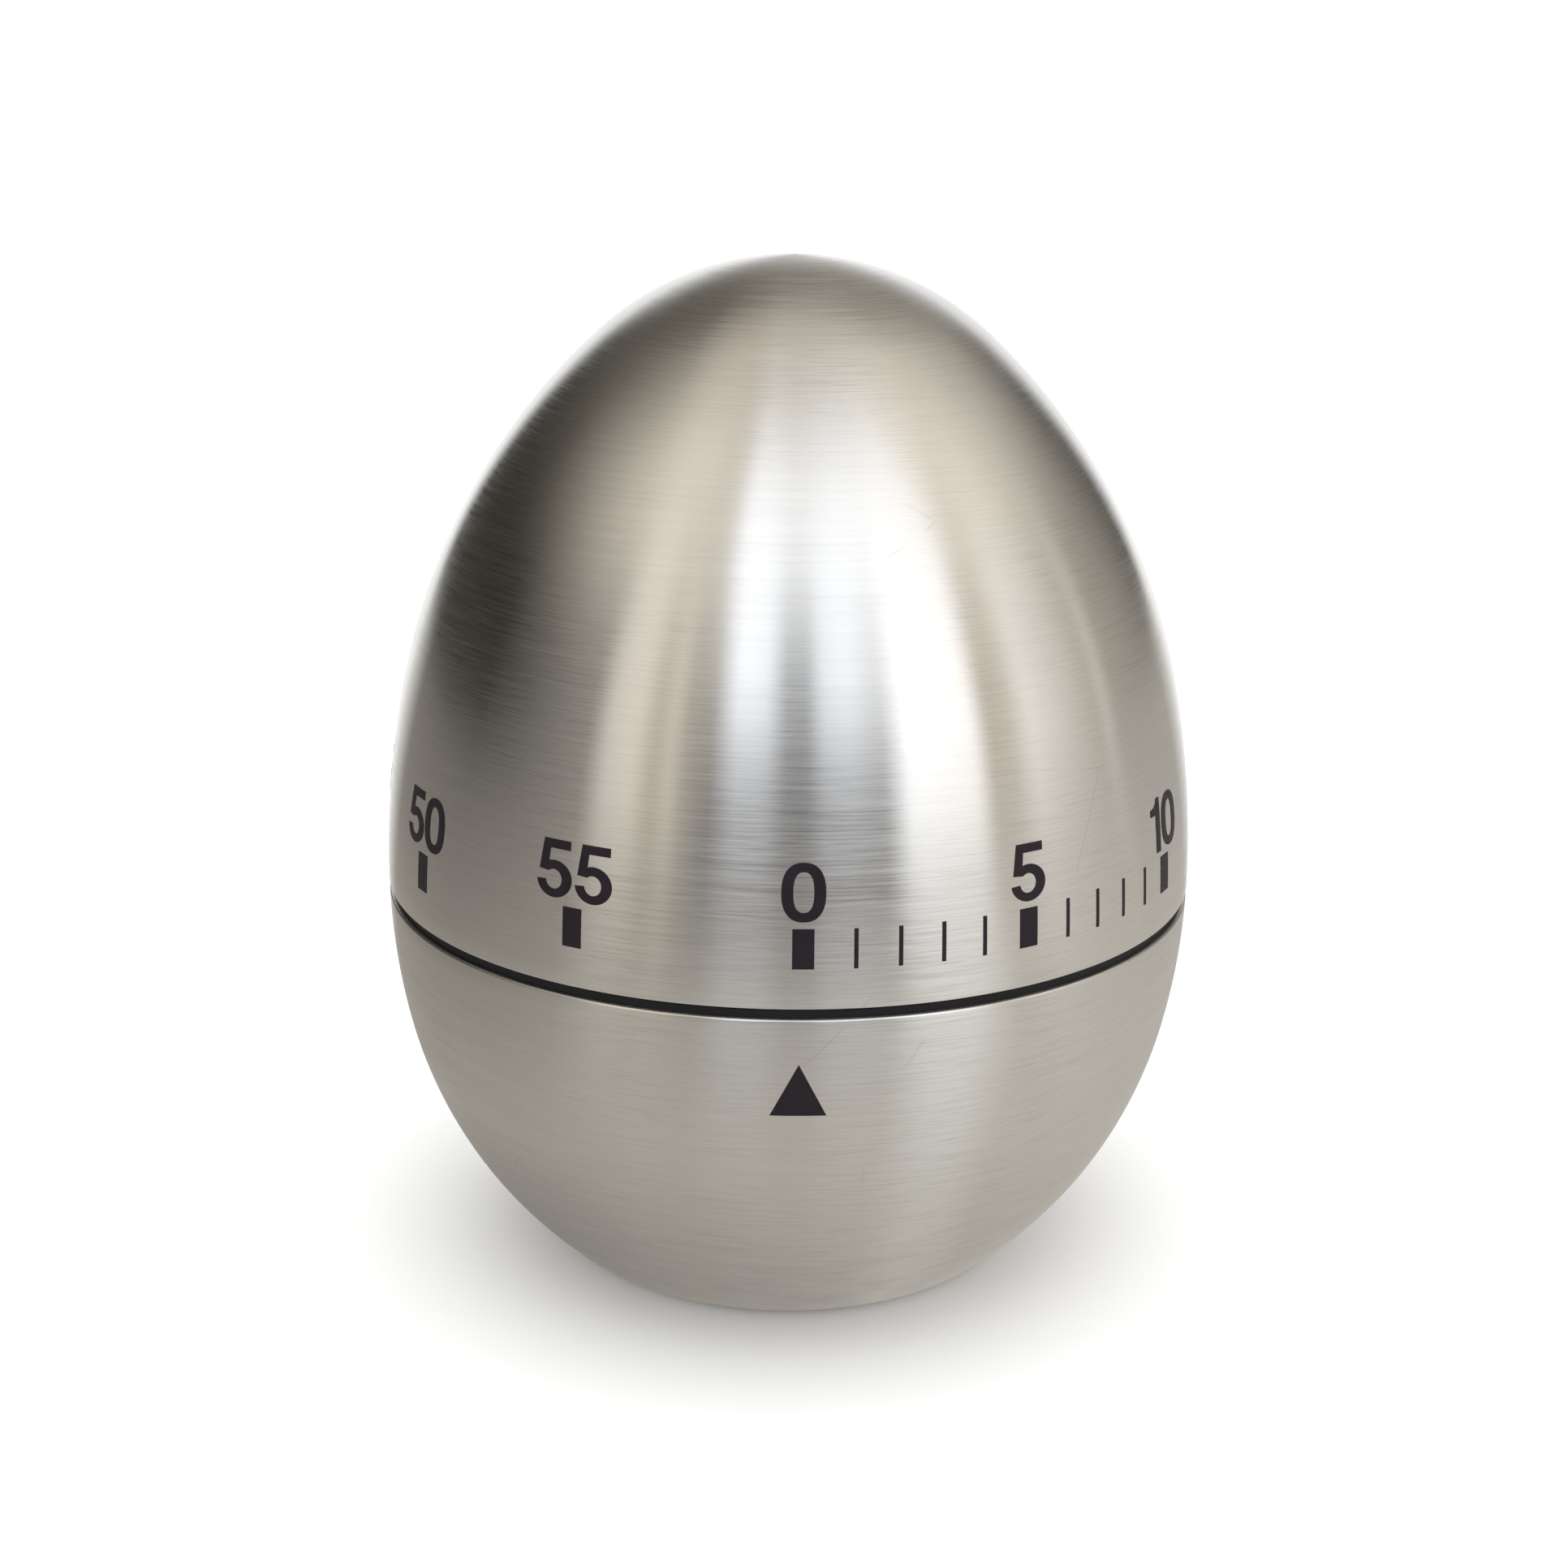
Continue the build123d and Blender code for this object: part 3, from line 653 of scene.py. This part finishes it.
# Panels of the light tent: degrees round the egg from the front, brightness and warmth.
LOW_PANELS = (
    (-180, 1.00, 0.0), (-160, 0.95, 0.0), (-150, 0.05, 0.9), (-100, 0.03, 0.9), (-84, 0.12, 0.6),
    (-60, 0.30, 0.5), (-54, 0.85, 0.5), (-46, 0.95, 0.7), (-40, 0.55, 0.9), (-35, 0.78, 0.8),
    (-31, 0.46, 0.8), (-24, 0.52, 0.5), (-17, 1.65, -0.4), (-9, 1.50, -0.4), (-3, 0.52, -0.3),
    (3, 0.48, -0.3), (8, 1.35, -0.4), (15, 1.55, -0.4), (24, 1.15, -0.2), (31, 1.70, -0.2),
    (51, 1.55, 0.1), (56, 0.60, 0.9), (63, 0.68, 0.8), (70, 1.10, 0.3), (80, 0.88, 0.4),
    (96, 0.54, 0.8), (100, 0.74, 0.5), (105, 0.44, 0.8), (120, 0.34, 0.7), (144, 0.10, 0.8),
    (156, 0.90, 0.0), (180, 1.00, 0.0),
)
HIGH_PANELS = (
    (-180, 0.20, 0.8), (-145, 0.11, 0.9), (-122, 0.16, 0.9), (-96, 0.48, 0.8), (-75, 0.85, 0.8),
    (-55, 1.02, 0.7), (-36, 0.88, 0.7), (-28, 1.05, 0.3), (-23, 1.65, -0.2), (0, 1.52, -0.2),
    (24, 1.60, -0.2), (54, 1.52, 0.0), (64, 1.00, 0.7), (86, 1.00, 0.7), (110, 0.70, 0.7),
    (140, 0.32, 0.8), (180, 0.20, 0.8),
)
TENT_RADIUS, TENT_FOOT, TENT_STRENGTH = 1.0, -0.02, 2.0
CEILING, CLOTHES = (0.35, 0.32, 0.27), (0.06, 0.06, 0.06)


def heading(n, x, y):
    """The direction from the front, in radians, and as the part of a turn that finds a panel."""
    bearing = n.math("ARCTAN2", x, n.math("MULTIPLY", y, -1.0))
    return bearing, n.math("ADD", n.math("DIVIDE", bearing, 2 * math.pi), 0.5)


def panel_ramp(n, turn, panels):
    """The colour of a ring of panels, looked up by direction."""
    ramp = n.add("ShaderNodeValToRGB")
    n.link(turn, ramp.inputs[0])
    stops = ramp.color_ramp.elements
    while len(stops) > 1:
        stops.remove(stops[-1])
    for index, (degrees, brightness, warmth) in enumerate(panels):
        stop = stops[0] if index == 0 else stops.new((degrees + 180) / 360)
        stop.position = (degrees + 180) / 360
        level = brightness / TENT_STRENGTH
        stop.color = (level * (1 + 0.10 * warmth), level, level * (1 - 0.18 * warmth), 1)
    return ramp.outputs["Color"]


def light_tent():
    """A dome whose panels the polished steel mirrors; the camera does not see it."""
    n, colour = glow("tent_light", TENT_STRENGTH)
    x, y, z = n.parts(n.place)
    bearing, turn = heading(n, x, y)
    rise = n.math("ADD", z, n.math("MULTIPLY", y, 0.08))
    rings = panel_ramp(n, turn, LOW_PANELS), panel_ramp(n, turn, HIGH_PANELS)
    sides = n.mix(n.remap(rise, 0.42, 0.68, 0, 1), *rings)
    whole = n.mix(n.remap(z, 0.88, 0.99, 0, 1), sides, CEILING)
    # The dark clothes of whoever stands in front, low down.
    ahead = n.remap(n.math("ABSOLUTE", bearing), 0.42, 0.54, 1, 0)
    low = n.remap(z, 0.12, 0.40, 0.85, 0)
    n.link(n.mix(n.math("MULTIPLY", ahead, low), whole, CLOTHES), colour)
    bm = bmesh.new()
    bmesh.ops.create_uvsphere(bm, u_segments=96, v_segments=48, radius=TENT_RADIUS)
    under = [v for v in bm.verts if v.co.z < TENT_FOOT]
    bmesh.ops.delete(bm, geom=under, context="VERTS")
    mesh = bpy.data.meshes.new("light_tent")
    bm.to_mesh(mesh)
    bm.free()
    mesh.materials.append(n.material)
    return mirrored_only(put_in_scene("light_tent", mesh))


# What the steel mirrors of the table: near the egg, greyer with the egg's painted shadow, and
# further out, left and right of it.
TABLE_LEFT = ((0.43, 0.405, 0.36), (0.50, 0.47, 0.42))
TABLE_RIGHT = ((0.72, 0.685, 0.625), (0.80, 0.76, 0.69))
TABLE_SHADE, TABLE_STRIPE = (0.20, 0.19, 0.18), (0.92, 0.91, 0.88)
TABLE_AHEAD, TABLE_BEHIND = (0.24, 0.23, 0.22), (1.05, 1.05, 1.03)
CARD_RADIUS, CARD_HEIGHT = 0.99, -0.0006


def table_reflection():
    """A glowing card, a painted reflection of the table that only the steel mirrors, grey close
    to the egg with its painted shadow and paler further out.
    """
    n, colour = glow("table_reflection")
    length = n.add("ShaderNodeVectorMath", operation="LENGTH")
    n.link(n.place, length.inputs[0])
    away = length.outputs["Value"]
    x, y, _ = n.parts(n.place)
    bearing, turn = heading(n, x, y)
    angle = n.math("ABSOLUTE", bearing)
    # Painted shadow: the table is greyer close round the egg and paler further out.
    near = n.remap(away, 0.020, 0.14, 0, 1)
    sides = n.mix(near, *TABLE_LEFT), n.mix(near, *TABLE_RIGHT)
    table = n.mix(n.remap(x, -0.12, 0.12, 0, 1), *sides)
    # The far left is darker, and so is the shadow close round the foot.
    table = n.mix(n.remap(n.math("DIVIDE", x, away), -0.96, -0.55, 0.14, 0), table, TABLE_SHADE)
    close, leftward = n.remap(away, 0.020, 0.040, 1, 0), n.remap(x, -0.025, 0.012, 0.75, 0.1)
    table = n.mix(n.math("MULTIPLY", close, leftward), table, TABLE_SHADE)
    # A pale stripe that leads away to the front right.
    middle = n.math("ADD", n.math("MULTIPLY", away, 3.5), 0.40)
    beside = n.math("ABSOLUTE", n.math("SUBTRACT", bearing, middle))
    within, strength = n.remap(beside, 0.06, 0.26, 1, 0), n.remap(away, 0.025, 0.070, 0.12, 0.72)
    table = n.mix(n.math("MULTIPLY", within, strength), table, TABLE_STRIPE)
    # The panels show faintly in the table, the person in front and the bright wall behind fully.
    table = n.mix(n.remap(away, 0.035, 0.16, 0, 0.42), table, panel_ramp(n, turn, LOW_PANELS))
    facing, further = n.remap(angle, 0.42, 0.60, 1, 0), n.remap(away, 0.10, 0.25, 0, 1)
    table = n.mix(n.math("MULTIPLY", facing, further), table, TABLE_AHEAD)
    turned, further = n.remap(angle, 2.35, 2.65, 0, 1), n.remap(away, 0.032, 0.085, 0, 1)
    n.link(n.mix(n.math("MULTIPLY", turned, further), table, TABLE_BEHIND), colour)
    return mirrored_only(disc_object("table_reflection", CARD_RADIUS, CARD_HEIGHT, n.material))


def studio():
    """A pale floor in a white room, one soft lamp, and what the steel mirrors."""
    floor = disc_object("floor", FLOOR_RADIUS, 0.0, paper("pale_paper", FLOOR_TONE))
    floor.visible_glossy = False
    lamp = bpy.data.lights.new("overhead", "AREA")
    lamp.shape = "DISK"
    lamp.size = LAMP_SIZE
    lamp.energy = LAMP_WATTS
    lamp_object = put_in_scene("overhead", lamp)
    lamp_object.location = LAMP_AT
    lamp_object.visible_glossy = False
    lamp_object.visible_camera = False
    world = bpy.data.worlds.new("white_room")
    bpy.context.scene.world = world
    world.use_nodes = True
    background = world.node_tree.nodes["Background"]
    background.inputs["Color"].default_value = (1, 1, 1, 1)
    background.inputs["Strength"].default_value = ROOM_BRIGHTNESS
    bpy.context.scene.view_settings.view_transform = "Standard"
    light_tent()
    table_reflection()


CAMERA_AT = (-0.00592, -0.17054, 0.08744)
CAMERA_AZIMUTH, CAMERA_ELEVATION, CAMERA_ROLL = -1.864, 17.051, 0.635  # degrees
CAMERA_LENS, CAMERA_SENSOR = 54.29, 36  # mm


def camera():
    """Stands a little left of the front and looks down on the egg by 17 degrees."""
    angles = (CAMERA_AZIMUTH, CAMERA_ELEVATION, CAMERA_ROLL)
    azimuth, elevation, roll = (math.radians(angle) for angle in angles)
    flat = math.cos(elevation)
    back = Vector((math.sin(azimuth) * flat, -math.cos(azimuth) * flat, math.sin(elevation)))
    level = Vector((math.cos(azimuth), math.sin(azimuth), 0))
    above = back.cross(level)
    right = level * math.cos(roll) + above * math.sin(roll)
    up = above * math.cos(roll) - level * math.sin(roll)
    data = bpy.data.cameras.new("camera")
    data.sensor_width = CAMERA_SENSOR
    data.lens = CAMERA_LENS
    data.clip_start = 0.01
    view = put_in_scene("camera", data)
    rows = zip(right, up, back, CAMERA_AT)
    view.matrix_world = Matrix((*rows, (0, 0, 0, 1)))
    bpy.context.scene.camera = view


# ---------------------------------------------------------------- the timer

steel_top = brushed_shell("brushed_steel_top", TOP_ROUGHNESS, SHELL_TONE)
steel_base = brushed_shell("brushed_steel_base", BASE_ROUGHNESS, SHELL_TONE)
print_ink = ink("printing_ink")

paint_inside()

upper = lathe("upper_shell_skin", upper_shell_section(), steel_top)
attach(upper, "dial")
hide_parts("upper_shell")

lower = lathe("lower_shell_skin", lower_shell_section(), steel_base)
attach(lower, "base")
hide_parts("lower_shell")

scale = minute_scale(print_ink)
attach(scale, "dial")

mark = pointer(print_ink)
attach(mark, "base")

studio()
camera()
